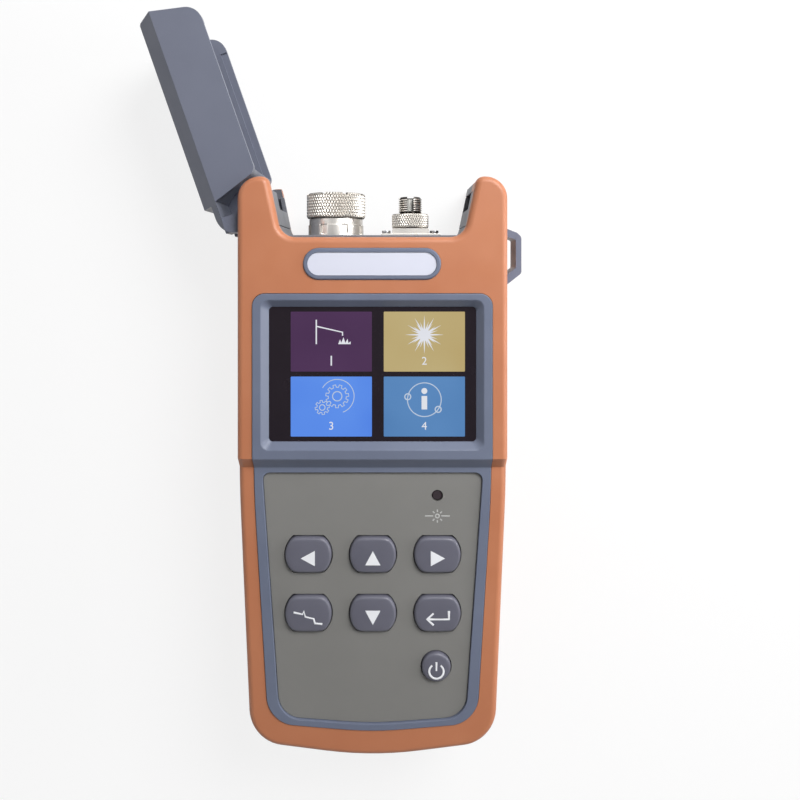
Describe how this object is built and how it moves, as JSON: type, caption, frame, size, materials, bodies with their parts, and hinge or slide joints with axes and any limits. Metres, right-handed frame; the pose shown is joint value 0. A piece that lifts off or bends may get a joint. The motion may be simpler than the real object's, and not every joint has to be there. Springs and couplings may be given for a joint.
{
  "type": "optical time domain reflectometer",
  "caption": "Handheld optical time domain reflectometer with a stepped face, a colour screen, keys, optical ports between two horns, a swinging port cover and a strap loop.",
  "frame": {"origin": "centre of the flat back of the housing", "axes": "+X to the right seen from the front, +Y along the housing towards the optical ports, +Z out of the keypad face"},
  "size_m": [0.1273, 0.2418, 0.0446],
  "materials": {
    "orange_shell": "soft-touch over-moulded plastic, satin",
    "bezel_grey": "fine-textured moulded plastic",
    "cover_grey": "fine-textured moulded plastic",
    "liner_grey": "fine-textured moulded plastic",
    "panel_grey": "matt printed film",
    "key_rubber": "satin silicone",
    "screen_black": "polished display window",
    "display_tray": "plain sheet metal",
    "plate_white": "smooth pale plate, bare",
    "nickel": "nickel plated and knurled",
    "ceramic": "white ceramic",
    "steel": "plain steel",
    "board_green": "circuit board",
    "silicone": "translucent silicone sheet",
    "battery_blue": "shrink sleeve",
    "module_metal": "screened metal can",
    "led_dark": "dark lens",
    "seal_foam": "closed-cell foam"
  },
  "bodies": {
    "housing": {"front_shell": "orange_shell", "rear_shell": "orange_shell", "case_screws": "steel", "battery_door": "orange_shell", "battery_door_screws": "steel", "battery_pack": "battery_blue", "front_bezel": "bezel_grey", "screen_window": "screen_black", "lcd_module": "display_tray", "keypad_panel": "panel_grey", "status_led": "led_dark", "keypad_board": "board_green", "key_mat": "silicone", "plate_frame": "bezel_grey", "name_plate": "plate_white", "main_board": "board_green", "otdr_module": "module_metal", "vfl_laser_module": "module_metal", "usb_socket": "steel", "port_liner": "liner_grey", "otdr_port_base": "nickel", "otdr_ferrule_sleeve": "ceramic", "vfl_flange": "nickel", "vfl_flange_screws": "steel", "vfl_adaptor": "nickel", "vfl_ferrule_sleeve": "ceramic", "hinge_pin": "steel", "strap_loop": "bezel_grey"},
    "cover": {"port_cover": "cover_grey", "cover_seal": "seal_foam", "hinge_spring": "steel"},
    "otdr_ring": {"otdr_knurled_ring": "nickel"},
    "vfl_nut": {"vfl_knurled_nut": "nickel"},
    "key_left_body": {"key_left": "key_rubber"},
    "key_scan_body": {"key_scan": "key_rubber"},
    "key_up_body": {"key_up": "key_rubber"},
    "key_down_body": {"key_down": "key_rubber"},
    "key_right_body": {"key_right": "key_rubber"},
    "key_enter_body": {"key_enter": "key_rubber"},
    "key_power_body": {"key_power": "key_rubber"}
  },
  "joints": [
    {"name": "cover_hinge", "type": "hinge", "parent": "housing", "child": "cover", "pos_m": [-0.03885, 0.0799, 0.022], "axis": [0, 0, 1], "range_deg": [-109.3, 0], "stiffness_Nm_per_rad": 0.005, "springref_deg": 22.92},
    {"name": "otdr_ring_turn", "type": "hinge", "parent": "housing", "child": "otdr_ring", "pos_m": [-0.0131, 0.083, 0.023], "axis": [0, 1, 0], "continuous": true},
    {"name": "vfl_nut_turn", "type": "hinge", "parent": "housing", "child": "vfl_nut", "pos_m": [0.0126, 0.078, 0.023], "axis": [0, 1, 0], "continuous": true},
    {"name": "key_left_press", "type": "slide", "parent": "housing", "child": "key_left_body", "axis": [0, 0, -1], "range_m": [0, 0.001], "stiffness_N_per_m": 800},
    {"name": "key_scan_press", "type": "slide", "parent": "housing", "child": "key_scan_body", "axis": [0, 0, -1], "range_m": [0, 0.001], "stiffness_N_per_m": 800},
    {"name": "key_up_press", "type": "slide", "parent": "housing", "child": "key_up_body", "axis": [0, 0, -1], "range_m": [0, 0.001], "stiffness_N_per_m": 800},
    {"name": "key_down_press", "type": "slide", "parent": "housing", "child": "key_down_body", "axis": [0, 0, -1], "range_m": [0, 0.001], "stiffness_N_per_m": 800},
    {"name": "key_right_press", "type": "slide", "parent": "housing", "child": "key_right_body", "axis": [0, 0, -1], "range_m": [0, 0.001], "stiffness_N_per_m": 800},
    {"name": "key_enter_press", "type": "slide", "parent": "housing", "child": "key_enter_body", "axis": [0, 0, -1], "range_m": [0, 0.001], "stiffness_N_per_m": 800},
    {"name": "key_power_press", "type": "slide", "parent": "housing", "child": "key_power_body", "axis": [0, 0, -1], "range_m": [0, 0.001], "stiffness_N_per_m": 800}
  ]
}
